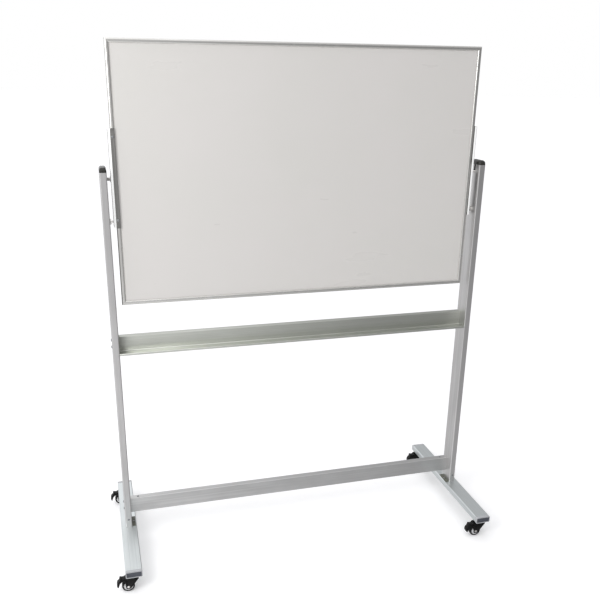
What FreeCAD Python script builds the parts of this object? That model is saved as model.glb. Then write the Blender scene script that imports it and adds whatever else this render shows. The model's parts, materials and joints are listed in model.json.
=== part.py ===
import FreeCAD, Part
import math
import os
import re

import Sketcher

# Rolling whiteboard: a double-sided board that turns over about a level axis between two posts,
# on two long feet with four swivel castors.
# Frame: +X to the viewer's right, +Y away from the viewer, +Z up.
# The origin is on the floor, midway between the posts. All sizes are in millimetres.

SIZES = {
    # how far a cutting shape reaches past what it cuts
    "cut_margin": 1,
    # board
    "board_width": 1200,
    "board_height": 800,
    "frame_face": 13,
    "frame_depth": 20,
    "groove_depth": 9,
    "chamber_wall": 1,
    "chamber_width": 12,
    "frame_round_outer": 5,
    "frame_round_inner": 4,
    "sheet_thickness": 0.5,
    "core_thickness": 10,
    "panel_play": 0.2,
    "key_length": 40,
    "key_play": 0.1,
    # posts
    "pivot_height": 1300,
    "side_gap": 19,
    "post_width": 22,
    "post_depth": 65,
    "post_wall": 1.6,
    "post_corner": 3,
    "post_rise": 23,
    "cap_rim": 3,
    "cap_dome": 12,
    "cap_dome_ratio_across": 0.8,
    "cap_dome_ratio_along": 0.75,
    "cap_plug": 5,
    "insert_play": 0.2,
    "insert_height": 45,
    # pivot
    "pin_radius": 5,
    "running_play": 0.05,
    "hole_play": 0.3,
    "pin_collar_radius": 8,
    "pin_collar": 2.5,
    "pin_reach": 14,
    "pin_root_gap": 0.5,
    "block_drop": 30,
    "block_top_gap": 1,
    # side brackets
    "bracket_length": 300,
    "bracket_web": 8,
    "bracket_flange": 1.5,
    "bracket_corner": 6,
    "bracket_screw_inset": 25,
    # locks
    "lock_drop": 130,
    "lock_radius": 4,
    "lock_travel": 4,
    "lock_tip_gap": 0.6,
    "lock_tail": 1,
    "barrel_flange_radius": 9.5,
    "barrel_flange": 2,
    "barrel_radius": 7,
    "barrel_depth": 12,
    "knob_radius": 8,
    "knob_length": 4,
    "knob_gap": 0.5,
    # feet
    "foot_length": 580,
    "foot_width": 54,
    "foot_height": 23,
    "foot_wall": 1.6,
    "foot_corner": 3,
    "foot_cap_length": 12,
    "foot_cap_plug": 5,
    "foot_cap_recess": 1.5,
    "foot_cap_edge": 2.5,
    "foot_plate": 2,
    "foot_plate_setback": 4,
    "bolt_spread": 18,
    # rails between the posts
    "crossbar_clearance": 38,
    "crossbar_height": 55,
    "crossbar_depth": 24,
    "crossbar_front": 0.5,
    "crossbar_wall": 1.6,
    "crossbar_corner": 2.5,
    "crossbar_screw_inset": 28,
    "rail_insert_length": 45,
    "tray_bottom": 734.5,
    "tray_height": 52,
    "tray_box_depth": 23.5,
    "tray_wall": 1.6,
    "tray_floor": 2,
    "tray_lip": 7,
    "tray_lip_wall": 5,
    "tray_lip_round": 2,
    "tray_cove": 3,
    # fasteners
    "bolt_radius": 3,
    "bolt_head_radius": 5,
    "bolt_head": 3,
    "bolt_grip": 25,
    "screw_radius": 2,
    "screw_head_radius": 3.8,
    "screw_head": 2,
    "low_head": 1,
    "screw_grip": 9,
    "base_bolt_radius": 4,
    "base_bolt_head_radius": 6.5,
    "base_bolt_head": 5,
    "base_bolt_grip": 25,
    # castors
    "caster_inset": 22,
    "caster_trail": 20,
    "tyre_radius": 21,
    "tyre_width": 19,
    "tyre_shoulder": 3,
    "tyre_round": 1.5,
    "tyre_gap": 6.6,
    "rim_radius": 15,
    "rim_lip": 2,
    "rim_wall": 3,
    "wheel_width": 17,
    "web_recess": 4,
    "boss_wall": 3.5,
    "boss_proud": 0.5,
    "axle_radius": 2.5,
    "axle_head_radius": 4.5,
    "axle_head": 1.2,
    "race_radius": 15,
    "race_height": 4,
    "race_gap": 0.4,
    "kingpin_radius": 4,
    "kingpin_head_radius": 6,
    "kingpin_head": 1.8,
    "kingpin_play": 0.3,
    "stem_length": 14,
    "fork_plate": 7,
    "fork_width": 26,
    "fork_gap": 21,
    "fork_nose": 14,
    "cheek_half_width": 8,
    "cheek_toe_half_width": 4,
    "cheek_drop": 9,
    "cheek_shoulder": 11,
    "fork_mouth": 16,
    "pedal_width": 19,
    "pedal_pin_radius": 2,
    "pedal_pin_gap": 4.4,
}

# Places and sizes that follow from the driving dimensions.
DERIVED = {
    "caster_height": "2 * tyre_radius + tyre_gap + fork_plate + race_gap + race_height",
    "post_inner": "board_width / 2 + side_gap",
    "post_x": "post_inner + post_width / 2",
    "foot_top": "caster_height + foot_height",
    "post_length": "pivot_height + post_rise - foot_top",
    "post_bore_width": "post_width - 2 * post_wall",
    "post_bore_depth": "post_depth - 2 * post_wall",
    "post_bore_corner": "post_corner - post_wall - insert_play",
    "groove_width": "sheet_thickness * 2 + core_thickness + panel_play",
    "panel_width": "board_width - 2 * (frame_face - groove_depth) - panel_play",
    "panel_height": "board_height - 2 * (frame_face - groove_depth) - panel_play",
    "chamber_depth": "frame_face - groove_depth - 2 * chamber_wall",
    "rail_span": "2 * post_inner",
    "crossbar_bottom": "foot_top + crossbar_clearance",
    "crossbar_middle": "crossbar_front + crossbar_depth / 2",
    "crossbar_bolt_low": "crossbar_bottom + crossbar_height / 4",
    "crossbar_bolt_high": "crossbar_bottom + crossbar_height * 3 / 4",
    "tray_box_front": "post_depth / 2 - tray_box_depth",
    "tray_middle": "post_depth / 2 - tray_box_depth / 2",
    "tray_bolt_low": "tray_bottom + tray_height / 4 + tray_floor",
    "tray_bolt_high": "tray_bottom + tray_height * 3 / 4",
    "caster_y": "foot_length / 2 - caster_inset",
    "fork_top": "caster_height - race_height - race_gap",
    "lock_height": "pivot_height - lock_drop",
    "lock_tip": "side_gap - bracket_web - lock_tip_gap",
    "bracket_outer": "board_width / 2 + bracket_web",
    "insert_screw_height": "foot_top + insert_height * 2 / 3",
    "foot_plate_width": "foot_width / 2 - post_width / 2 - foot_corner",
    "foot_plate_middle": "post_inner - foot_plate_width / 2",
}

# The brake pedal's outline, as (distance outside the tyre, degrees about the axle from +X to +Z).
PEDAL_OUTLINE = [(5.6, 89), (2.1, 89), (4.5, 116), (8.4, 148), (8, 182), (12, 183.5), (16, 178.5),
                 (17.6, 149), (17.9, 132), (14.8, 117), (9.8, 97.5)]
PEDAL_PIN_ANGLE = 100

SIDES = {"left": -1, "right": 1}
ENDS = {"front": -1, "rear": 1}
WORD = re.compile(r"[a-z_]+[a-z0-9_]*")

doc = FreeCAD.newDocument("rolling_whiteboard")
sheet = doc.addObject("Spreadsheet::Sheet", "Sizes")
for row, (alias, amount) in enumerate(SIZES.items(), start=1):
    sheet.set(f"A{row}", alias)
    sheet.set(f"B{row}", str(amount))
    sheet.setAlias(f"B{row}", alias)
doc.recompute()

nodes = []


# ---------------------------------------------------------------- sheet formulas

def formula(text):
    """Turn a formula of size names into one that reads the sheet."""
    def replace(match):
        word = match.group(0)
        if word in DERIVED:
            return "(" + formula(DERIVED[word]) + ")"
        if word in SIZES:
            return "Sizes." + word
        return word
    return WORD.sub(replace, str(text))


def number(text):
    """Work a formula out, in millimetres."""
    return float(sheet.evalExpression(formula(text)))


# ---------------------------------------------------------------- document helpers

def place(item, x="0", y="0", z="0"):
    """Bind an object's position to three formulas."""
    for letter, text in zip("xyz", (x, y, z)):
        item.setExpression(f"Placement.Base.{letter}", formula(text))


def node(item, name):
    """Record an object as a sub-part and give it its name."""
    item.Label = name
    nodes.append(item)
    return item


def new_body(name, x="0", y="0", z="0"):
    """An empty body whose position is bound to three formulas."""
    body = doc.addObject("PartDesign::Body", name)
    place(body, x, y, z)
    return body


def new_sketch(body, plane, offset="0"):
    """A sketch on one of the body's own origin planes: XY, XZ or YZ."""
    sketch = body.newObject("Sketcher::SketchObject", f"{body.Name}_sketch")
    support = [item for item in body.Origin.OriginFeatures if item.Role == plane + "_Plane"][0]
    sketch.AttachmentSupport = [(support, "")]
    sketch.MapMode = "FlatFace"
    sketch.setExpression("AttachmentOffset.Base.z", formula(offset))
    return sketch


def bind(sketch, kind, items, text, name):
    """Add one dimension to a sketch and bind it to a formula."""
    index = sketch.addConstraint(Sketcher.Constraint(kind, *items, number(text)))
    sketch.renameConstraint(index, name)
    sketch.setExpression(f"Constraints.{name}", formula(text))


def outline(sketch, points):
    """A closed outline of straight edges through points given as pairs of formulas."""
    corners = [FreeCAD.Vector(number(x), number(y), 0) for x, y in points]
    first = sketch.GeometryCount
    total = len(points)
    for index in range(total):
        sketch.addGeometry(Part.LineSegment(corners[index], corners[(index + 1) % total]))
    for index in range(total):
        following = first + (index + 1) % total
        sketch.addConstraint(Sketcher.Constraint("Coincident", first + index, 2, following, 1))
    for index, (x, y) in enumerate(points):
        edge = first + index
        bind(sketch, "DistanceX", (-1, 1, edge, 1), x, f"across_{edge}")
        bind(sketch, "DistanceY", (-1, 1, edge, 1), y, f"up_{edge}")


def rectangle(sketch, left, right, low, high):
    """A closed rectangle given by its four limits."""
    outline(sketch, [(left, low), (right, low), (right, high), (left, high)])


def circle(sketch, radius, x="0", y="0"):
    """A circle whose radius and centre are formulas."""
    centre = FreeCAD.Vector(number(x), number(y), 0)
    index = sketch.addGeometry(Part.Circle(centre, FreeCAD.Vector(0, 0, 1), number(radius)))
    bind(sketch, "DistanceX", (-1, 1, index, 3), x, f"centre_x_{index}")
    bind(sketch, "DistanceY", (-1, 1, index, 3), y, f"centre_y_{index}")
    bind(sketch, "Radius", (index,), radius, f"radius_{index}")


def rounded_rectangle(sketch, width, height, radius, x="0", y="0"):
    """A rectangle with four tangent corner arcs, centred on (x, y)."""
    half_w, half_h, corner = number(width) / 2, number(height) / 2, number(radius)
    mid_x, mid_y = number(x), number(y)
    first = sketch.GeometryCount
    inner_w, inner_h = half_w - corner, half_h - corner
    edges = [((-inner_w, -half_h), (inner_w, -half_h)), ((half_w, -inner_h), (half_w, inner_h)),
             ((inner_w, half_h), (-inner_w, half_h)), ((-half_w, inner_h), (-half_w, -inner_h))]
    centres = [(inner_w, -inner_h), (inner_w, inner_h), (-inner_w, inner_h), (-inner_w, -inner_h)]
    for turn in range(4):
        start, end = [FreeCAD.Vector(mid_x + a, mid_y + b, 0) for a, b in edges[turn]]
        sketch.addGeometry(Part.LineSegment(start, end))
        middle = FreeCAD.Vector(mid_x + centres[turn][0], mid_y + centres[turn][1], 0)
        ring = Part.Circle(middle, FreeCAD.Vector(0, 0, 1), corner)
        begin = (turn - 1) * math.pi / 2
        sketch.addGeometry(Part.ArcOfCircle(ring, begin, begin + math.pi / 2))
    for turn in range(4):
        line, arc = first + 2 * turn, first + 2 * turn + 1
        following = first + (2 * turn + 2) % 8
        sketch.addConstraint(Sketcher.Constraint("Tangent", line, 2, arc, 1))
        sketch.addConstraint(Sketcher.Constraint("Tangent", arc, 2, following, 1))
        sketch.addConstraint(Sketcher.Constraint("Horizontal" if turn % 2 == 0 else "Vertical", line))
        if turn:
            sketch.addConstraint(Sketcher.Constraint("Equal", first + 1, arc))
    bind(sketch, "Radius", (first + 1,), radius, f"corner_{first}")
    bind(sketch, "DistanceY", (-1, 1, first, 1), f"{y} - ({height}) / 2", f"low_{first}")
    bind(sketch, "DistanceX", (-1, 1, first + 2, 1), f"{x} + ({width}) / 2", f"right_{first}")
    bind(sketch, "DistanceY", (-1, 1, first + 4, 1), f"{y} + ({height}) / 2", f"high_{first}")
    bind(sketch, "DistanceX", (-1, 1, first + 6, 1), f"{x} - ({width}) / 2", f"left_{first}")


def pad(body, sketch, length, symmetric=False):
    """Extrude a sketch, to one side or evenly to both."""
    feature = body.newObject("PartDesign::Pad", f"{body.Name}_pad")
    feature.Profile = sketch
    feature.SideType = "Symmetric" if symmetric else "One side"
    feature.setExpression("Length", formula(length))
    doc.recompute()
    return feature


def pocket(body, sketch, length, symmetric=False, toward_normal=False):
    """Cut a sketch into the body and make sure that something was removed."""
    before = body.Shape.Volume
    feature = body.newObject("PartDesign::Pocket", f"{body.Name}_pocket")
    feature.Profile = sketch
    feature.SideType = "Symmetric" if symmetric else "One side"
    feature.Reversed = toward_normal
    feature.setExpression("Length", formula(length))
    doc.recompute()
    if not body.Shape.Volume < before:
        raise RuntimeError(f"{feature.Name} removes nothing")
    return feature


def revolve(body, sketch, axis):
    """Turn a sketch right round one of its own axes."""
    feature = body.newObject("PartDesign::Revolution", f"{body.Name}_revolution")
    feature.Profile = sketch
    feature.ReferenceAxis = (sketch, [axis])
    feature.Angle = 360
    doc.recompute()
    return feature


def fillet(body, radius, wanted):
    """Round the edges that a test picks, inside a body."""
    base = body.Tip
    names = [f"Edge{index}" for index, edge in enumerate(base.Shape.Edges, start=1) if wanted(edge)]
    feature = body.newObject("PartDesign::Fillet", f"{body.Name}_fillet")
    feature.Base = (base, names)
    feature.setExpression("Radius", formula(radius))
    doc.recompute()
    return feature


def along(edge, axis):
    """True for a straight edge that runs along one axis, given as 0, 1 or 2."""
    if edge.Curve.TypeId != "Part::GeomLine":
        return False
    return abs(edge.tangentAt(edge.FirstParameter)[axis]) > 0.999


def box(name, size_x, size_y, size_z, x, y, z):
    """A box centred on x and y that stands on z."""
    item = doc.addObject("Part::Box", name)
    item.setExpression("Length", formula(size_x))
    item.setExpression("Width", formula(size_y))
    item.setExpression("Height", formula(size_z))
    place(item, f"{x} - ({size_x}) / 2", f"{y} - ({size_y}) / 2", z)
    return item


def cylinder(name, radius, length, x, y, z, direction=(0, 0, 1)):
    """A cylinder that starts at a point and runs along a direction."""
    item = doc.addObject("Part::Cylinder", name)
    item.setExpression("Radius", formula(radius))
    item.setExpression("Height", formula(length))
    item.Placement = FreeCAD.Placement(
        FreeCAD.Vector(), FreeCAD.Rotation(FreeCAD.Vector(0, 0, 1), FreeCAD.Vector(*direction)))
    place(item, x, y, z)
    return item


def rounded_block(name, plane, width, height, radius, length, point):
    """A solid bar with rounded long edges, centred on a point along the plane's normal."""
    body = new_body(name, *point)
    section = new_sketch(body, plane)
    rounded_rectangle(section, width, height, radius)
    pad(body, section, length, symmetric=True)
    return body


def fused(name, items):
    """Join several shapes into one solid."""
    item = doc.addObject("Part::MultiFuse", name)
    item.Shapes = items
    return item


def cut(name, base, tool):
    """Take one shape away from another."""
    item = doc.addObject("Part::Cut", name)
    item.Base = base
    item.Tool = tool
    return item


def group(name, items):
    """Several identical pieces that share one node as separate solids."""
    item = doc.addObject("Part::Compound", name)
    item.Links = items
    return node(item, name)


def headed_pin(name, radius, length, head_radius, head, point, direction):
    """A fastener: its head stands proud of the point and its shank goes the other way in."""
    x, y, z = point
    inward = tuple(-step for step in direction)
    shank = cylinder(f"{name}_shank", radius, length, x, y, z, inward)
    top = cylinder(f"{name}_head", head_radius, head, x, y, z, direction)
    return fused(name, [shank, top])


def drilled(name, block, holes):
    """A block with holes, each given as (radius, length, point, direction)."""
    tools = [cylinder(f"{name}_hole", radius, length, *point, direction)
             for radius, length, point, direction in holes]
    return cut(name, block, fused(f"{name}_holes", tools) if len(tools) > 1 else tools[0])


# ---------------------------------------------------------------- stand

def make_post(side_name, side):
    """A rounded rectangular tube with an open-topped slot for the pivot pin in its inner wall."""
    name = f"post_{side_name}"
    body = new_body(name, f"{side} * post_x", "0", "foot_top")
    section = new_sketch(body, "XY")
    rounded_rectangle(section, "post_width", "post_depth", "post_corner")
    rounded_rectangle(section, "post_bore_width", "post_bore_depth", "post_corner - post_wall")
    pad(body, section, "post_length")
    inward_is_normal = side < 0
    pivot = "pivot_height - foot_top"
    slot_half = "pin_radius + hole_play"
    seat = new_sketch(body, "YZ")
    circle(seat, slot_half, "0", pivot)
    pocket(body, seat, "post_width / 2 + cut_margin", toward_normal=inward_is_normal)
    slot = new_sketch(body, "YZ")
    rectangle(slot, f"-({slot_half})", slot_half, pivot, "post_length + cut_margin")
    pocket(body, slot, "post_width / 2 + cut_margin", toward_normal=inward_is_normal)
    lock = new_sketch(body, "YZ")
    circle(lock, "barrel_radius + hole_play", "0", "lock_height - foot_top")
    pocket(body, lock, "post_width / 2 + cut_margin", toward_normal=inward_is_normal)
    bolts = new_sketch(body, "YZ")
    bolt_places = (("crossbar_middle", "crossbar_bolt_low"), ("crossbar_middle", "crossbar_bolt_high"),
                   ("tray_middle", "tray_bolt_low"), ("tray_middle", "tray_bolt_high"))
    for along_y, height in bolt_places:
        circle(bolts, "bolt_radius + hole_play", along_y, f"{height} - foot_top")
    pocket(body, bolts, "post_width + 2 * cut_margin", symmetric=True)
    screw = new_sketch(body, "XZ")
    circle(screw, "screw_radius + hole_play", "0", "insert_screw_height - foot_top")
    pocket(body, screw, "post_depth / 2 + cut_margin", toward_normal=True)
    node(body, name)


def make_post_cap(side_name, side):
    """A domed plug: a crown trimmed to the post's outline, and a tongue that goes into the bore."""
    name = f"post_cap_{side_name}"
    where = (f"{side} * post_x", "0", "pivot_height + post_rise")
    crown = new_body(f"{name}_crown", *where)
    section = new_sketch(crown, "XY")
    rounded_rectangle(section, "post_width", "post_depth", "post_corner")
    pad(crown, section, "cap_rim + cap_dome")
    dome = doc.addObject("Part::Ellipsoid", f"{name}_dome")
    dome.setExpression("Radius1", formula("cap_dome"))
    dome.setExpression("Radius2", formula("post_width * cap_dome_ratio_across"))
    dome.setExpression("Radius3", formula("post_depth * cap_dome_ratio_along"))
    place(dome, where[0], where[1], f"{where[2]} + cap_rim")
    skirt = box(f"{name}_skirt", "post_width * 2", "post_depth * 2", "cap_rim", *where)
    limit = fused(f"{name}_limit", [dome, skirt])
    trimmed = doc.addObject("Part::Common", f"{name}_trimmed")
    trimmed.Base = crown
    trimmed.Tool = limit
    plug = rounded_block(f"{name}_plug", "XY", "post_bore_width - 2 * insert_play",
                         "post_bore_depth - 2 * insert_play", "post_bore_corner", "cap_plug + cap_rim",
                         (where[0], where[1], f"{where[2]} - (cap_plug - cap_rim) / 2"))
    node(fused(name, [trimmed, plug]), name)


def make_bearing_block(side_name, side):
    """A nylon block inside the post whose open-topped seat carries the pivot pin."""
    name = f"bearing_block_{side_name}"
    height = "block_drop + post_rise - cap_plug - block_top_gap"
    body = new_body(name, f"{side} * post_x", "0", "pivot_height")
    section = new_sketch(body, "XY", "-block_drop")
    rounded_rectangle(section, "post_bore_width - 2 * insert_play", "post_bore_depth - 2 * insert_play",
                      "post_bore_corner")
    pad(body, section, height)
    seat = new_sketch(body, "YZ")
    circle(seat, "pin_radius + running_play")
    pocket(body, seat, "post_width", symmetric=True)
    mouth = new_sketch(body, "YZ")
    rectangle(mouth, "-pin_radius - running_play", "pin_radius + running_play", "0", "post_rise")
    pocket(body, mouth, "post_width", symmetric=True)
    node(body, name)


def make_foot(side_name, side):
    """A rounded rectangular tube along Y, drilled for the two base bolts and the two castor stems."""
    name = f"foot_{side_name}"
    body = new_body(name, f"{side} * post_x", "0", "caster_height + foot_height / 2")
    section = new_sketch(body, "XZ")
    rounded_rectangle(section, "foot_width", "foot_height", "foot_corner")
    rounded_rectangle(section, "foot_width - 2 * foot_wall", "foot_height - 2 * foot_wall",
                      "foot_corner - foot_wall")
    pad(body, section, "foot_length - 2 * foot_cap_length", symmetric=True)
    bolts = new_sketch(body, "XY")
    for end in ENDS.values():
        circle(bolts, "base_bolt_radius + hole_play", "0", f"{end} * bolt_spread")
    pocket(body, bolts, "foot_height / 2 + cut_margin", toward_normal=True)
    lower = new_sketch(body, "XY")
    for end in ENDS.values():
        circle(lower, "base_bolt_head_radius + hole_play", "0", f"{end} * bolt_spread")
        circle(lower, "kingpin_radius + hole_play", "0", f"{end} * caster_y")
    pocket(body, lower, "foot_height / 2 + cut_margin")
    node(body, name)


def make_foot_caps():
    """Four end caps: a flush block with a shallow panel in its face and a plug in the tube."""
    caps = []
    for side_name, side in SIDES.items():
        for end_name, end in ENDS.items():
            name = f"foot_cap_{end_name}_{side_name}"
            x = f"{side} * post_x"
            middle_z = "caster_height + foot_height / 2"
            outer = new_body(name + "_block", x, f"{end} * (foot_length - foot_cap_length) / 2", middle_z)
            face = new_sketch(outer, "XZ")
            rounded_rectangle(face, "foot_width", "foot_height", "foot_corner")
            pad(outer, face, "foot_cap_length", symmetric=True)
            recess = new_sketch(outer, "XZ", f"{-end} * (foot_cap_length / 2 - foot_cap_recess)")
            rounded_rectangle(recess, "foot_width - 2 * foot_cap_edge", "foot_height - 2 * foot_cap_edge",
                              "foot_corner - foot_wall / 2")
            pocket(outer, recess, "foot_cap_recess + cut_margin", toward_normal=end < 0)
            plug_y = f"{end} * (foot_length / 2 - foot_cap_length - (foot_cap_plug - foot_wall) / 2)"
            plug = rounded_block(name + "_plug", "XZ", "foot_width - 2 * foot_wall - 2 * insert_play",
                                 "foot_height - 2 * foot_wall - 2 * insert_play",
                                 "foot_corner - foot_wall - insert_play", "foot_cap_plug + foot_wall",
                                 (x, plug_y, middle_z))
            caps.append(fused(name, [outer, plug]))
    group("foot_caps", caps)


def make_foot_plate(side_name, side):
    """A thin cover plate on the foot, beside the post's inner face, with one screw hole."""
    name = f"foot_plate_{side_name}"
    middle = f"{side} * foot_plate_middle"
    plate = box(f"{name}_blank", "foot_plate_width", "post_depth - 2 * foot_plate_setback", "foot_plate",
                middle, "0", "foot_top")
    hole = ("screw_radius + running_play", "foot_plate + 2 * cut_margin",
            (middle, "0", "foot_top - cut_margin"), (0, 0, 1))
    node(drilled(name, plate, [hole]), name)


def make_post_inserts():
    """Solid blocks in the foot of each post that the base bolts and the front screw go into."""
    inserts = []
    for side_name, side in SIDES.items():
        x = f"{side} * post_x"
        block = rounded_block(f"post_insert_blank_{side_name}", "XY", "post_bore_width - 2 * insert_play",
                              "post_bore_depth - 2 * insert_play", "post_bore_corner", "insert_height",
                              (x, "0", "foot_top + insert_height / 2"))
        holes = [("base_bolt_radius + running_play", "insert_height",
                  (x, f"{end} * bolt_spread", "foot_top - cut_margin"), (0, 0, 1)) for end in ENDS.values()]
        holes.append(("screw_radius + running_play", "post_depth / 2 - bolt_spread / 2 + cut_margin",
                      (x, "-post_depth / 2 - cut_margin", "insert_screw_height"), (0, 1, 0)))
        inserts.append(drilled(f"post_insert_{side_name}", block, holes))
    group("post_inserts", inserts)


def make_base_bolts():
    """Two bolts for each post, up through the top wall of the foot into the insert."""
    bolts = []
    for side_name, side in SIDES.items():
        for end_name, end in ENDS.items():
            point = (f"{side} * post_x", f"{end} * bolt_spread", "foot_top - foot_wall")
            bolts.append(headed_pin(f"base_bolt_{end_name}_{side_name}", "base_bolt_radius", "base_bolt_grip",
                                    "base_bolt_head_radius", "base_bolt_head", point, (0, 0, -1)))
    group("base_bolts", bolts)


def make_post_screws():
    """One pan-head screw in the front of each post, near the foot."""
    screws = []
    for side_name, side in SIDES.items():
        point = (f"{side} * post_x", "-post_depth / 2", "insert_screw_height")
        screws.append(headed_pin(f"post_screw_{side_name}", "screw_radius", "screw_grip",
                                 "screw_head_radius", "screw_head", point, (0, -1, 0)))
    group("post_screws", screws)


def make_plate_screws():
    """One screw through each foot plate, standing in the foot's top wall."""
    screws = []
    for side_name, side in SIDES.items():
        point = (f"{side} * foot_plate_middle", "0", "foot_top + foot_plate")
        screws.append(headed_pin(f"plate_screw_{side_name}", "screw_radius", "foot_plate",
                                 "screw_head_radius", "low_head", point, (0, 0, 1)))
    group("plate_screws", screws)


def make_crossbar():
    """The low rectangular tube between the posts, with a screw hole near each end of its top."""
    body = new_body("crossbar", "0", "crossbar_middle", "crossbar_bottom + crossbar_height / 2")
    section = new_sketch(body, "YZ")
    rounded_rectangle(section, "crossbar_depth", "crossbar_height", "crossbar_corner")
    rounded_rectangle(section, "crossbar_depth - 2 * crossbar_wall", "crossbar_height - 2 * crossbar_wall",
                      "crossbar_corner - crossbar_wall")
    pad(body, section, "rail_span", symmetric=True)
    holes = new_sketch(body, "XY")
    for side in SIDES.values():
        circle(holes, "screw_radius + hole_play", f"{side} * (post_inner - crossbar_screw_inset)")
    pocket(body, holes, "crossbar_height / 2 + cut_margin", toward_normal=True)
    node(body, "crossbar")


def make_crossbar_inserts():
    """Blocks in the ends of the crossbar that the post bolts and the top screws go into."""
    inserts = []
    for side_name, side in SIDES.items():
        middle = f"{side} * (post_inner - rail_insert_length / 2)"
        block = rounded_block(f"crossbar_insert_blank_{side_name}", "YZ",
                              "crossbar_depth - 2 * crossbar_wall - 2 * insert_play",
                              "crossbar_height - 2 * crossbar_wall - 2 * insert_play",
                              "crossbar_corner - crossbar_wall - insert_play", "rail_insert_length",
                              (middle, "crossbar_middle", "crossbar_bottom + crossbar_height / 2"))
        start = f"{side} * (post_inner + cut_margin)"
        holes = [("bolt_radius + running_play", "bolt_grip + 2 * cut_margin",
                  (start, "crossbar_middle", level), (-side, 0, 0))
                 for level in ("crossbar_bolt_low", "crossbar_bolt_high")]
        holes.append(("screw_radius + running_play", "crossbar_wall + screw_grip + 2 * cut_margin",
                      (f"{side} * (post_inner - crossbar_screw_inset)", "crossbar_middle",
                       "crossbar_bottom + crossbar_height + cut_margin"), (0, 0, -1)))
        inserts.append(drilled(f"crossbar_insert_{side_name}", block, holes))
    group("crossbar_inserts", inserts)


def make_crossbar_screws():
    """One pan-head screw in the top of the crossbar near each end."""
    screws = []
    for side_name, side in SIDES.items():
        point = (f"{side} * (post_inner - crossbar_screw_inset)", "crossbar_middle",
                 "crossbar_bottom + crossbar_height")
        screws.append(headed_pin(f"crossbar_screw_{side_name}", "screw_radius", "screw_grip",
                                 "screw_head_radius", "screw_head", point, (0, 0, 1)))
    group("crossbar_screws", screws)


def make_rail_bolts(name, along_y, levels):
    """Button-head bolts from the outer face of each post into a rail's end insert."""
    bolts = []
    for side_name, side in SIDES.items():
        for index, level in enumerate(levels):
            point = (f"{side} * (post_inner + post_width)", along_y, level)
            bolts.append(headed_pin(f"{name}_{side_name}_{index}", "bolt_radius", "post_width + bolt_grip",
                                    "bolt_head_radius", "bolt_head", point, (side, 0, 0)))
    group(name, bolts)


def make_tray():
    """The pen tray: a hollow box at the back, a floor that runs forward and a low rounded lip."""
    body = new_body("tray", "0", "0", "tray_bottom")
    section = new_sketch(body, "YZ")
    back = "post_depth / 2"
    front = "-post_depth / 2"
    outline(section, [
        (front, "0"), (back, "0"), (back, "tray_height"), ("tray_box_front", "tray_height"),
        ("tray_box_front", "tray_floor"), (f"{front} + tray_lip_wall", "tray_floor"),
        (f"{front} + tray_lip_wall", "tray_lip"), (front, "tray_lip")])
    rectangle(section, "tray_box_front + tray_wall", f"{back} - tray_wall",
              "tray_floor", "tray_height - tray_wall")
    pad(body, section, "rail_span", symmetric=True)
    cove_y, cove_z = number("tray_box_front"), number("tray_floor")
    fillet(body, "tray_cove", lambda edge: along(edge, 0)
           and abs(edge.CenterOfMass.y - cove_y) < 0.01 and abs(edge.CenterOfMass.z - cove_z) < 0.01)
    lip_top = number("tray_lip")
    fillet(body, "tray_lip_round", lambda edge: along(edge, 0)
           and abs(edge.CenterOfMass.z - lip_top) < 0.01)
    node(body, "tray")


def make_tray_inserts():
    """Blocks in the ends of the tray's hollow back that the post bolts go into."""
    inserts = []
    for side_name, side in SIDES.items():
        middle = f"{side} * (post_inner - rail_insert_length / 2)"
        block = box(f"tray_insert_blank_{side_name}", "rail_insert_length",
                    "tray_box_depth - 2 * tray_wall - 2 * insert_play",
                    "tray_height - tray_wall - tray_floor - 2 * insert_play",
                    middle, "tray_middle", "tray_bottom + tray_floor + insert_play")
        start = f"{side} * (post_inner + cut_margin)"
        holes = [("bolt_radius + running_play", "bolt_grip + 2 * cut_margin",
                  (start, "tray_middle", level), (-side, 0, 0))
                 for level in ("tray_bolt_low", "tray_bolt_high")]
        inserts.append(drilled(f"tray_insert_{side_name}", block, holes))
    group("tray_inserts", inserts)


# ---------------------------------------------------------------- board

def make_frame_rail(name, angle, length, half_span):
    """One mitred frame rail with rounded faces, a groove for the panel and a chamber for the keys.

    It is drawn as the bottom rail and turned about the pivot axis's normal."""
    body = new_body(name, "0", "0", "pivot_height")
    body.Placement = FreeCAD.Placement(FreeCAD.Vector(), FreeCAD.Rotation(FreeCAD.Vector(0, 1, 0), angle))
    low = f"-({half_span})"
    face = f"{low} + frame_face"
    floor = f"{face} - groove_depth"
    section = new_sketch(body, "YZ")
    outline(section, [
        ("-frame_depth / 2", low), ("frame_depth / 2", low), ("frame_depth / 2", face),
        ("groove_width / 2", face), ("groove_width / 2", floor), ("-groove_width / 2", floor),
        ("-groove_width / 2", face), ("-frame_depth / 2", face)])
    rectangle(section, "-chamber_width / 2", "chamber_width / 2", f"{low} + chamber_wall",
              f"{low} + chamber_wall + chamber_depth")
    pad(body, section, length, symmetric=True)
    half_depth = number("frame_depth / 2")
    for level, radius in ((low, "frame_round_outer"), (face, "frame_round_inner")):
        height = number(level)
        fillet(body, radius, lambda edge: along(edge, 0)
               and abs(abs(edge.CenterOfMass.y) - half_depth) < 0.01
               and abs(edge.CenterOfMass.z - height) < 0.01)
    mitre = new_sketch(body, "XZ")
    for end in (-1, 1):
        corner = f"{end} * ({length}) / 2"
        over = "frame_face + cut_margin"
        outside = f"{corner} + {end} * cut_margin"
        outline(mitre, [(corner, low), (f"{corner} - {end} * ({over})", f"{low} + {over}"),
                        (outside, f"{low} + {over}"), (outside, low)])
    pocket(body, mitre, "frame_depth + 2 * cut_margin", symmetric=True)
    node(body, name)


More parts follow.
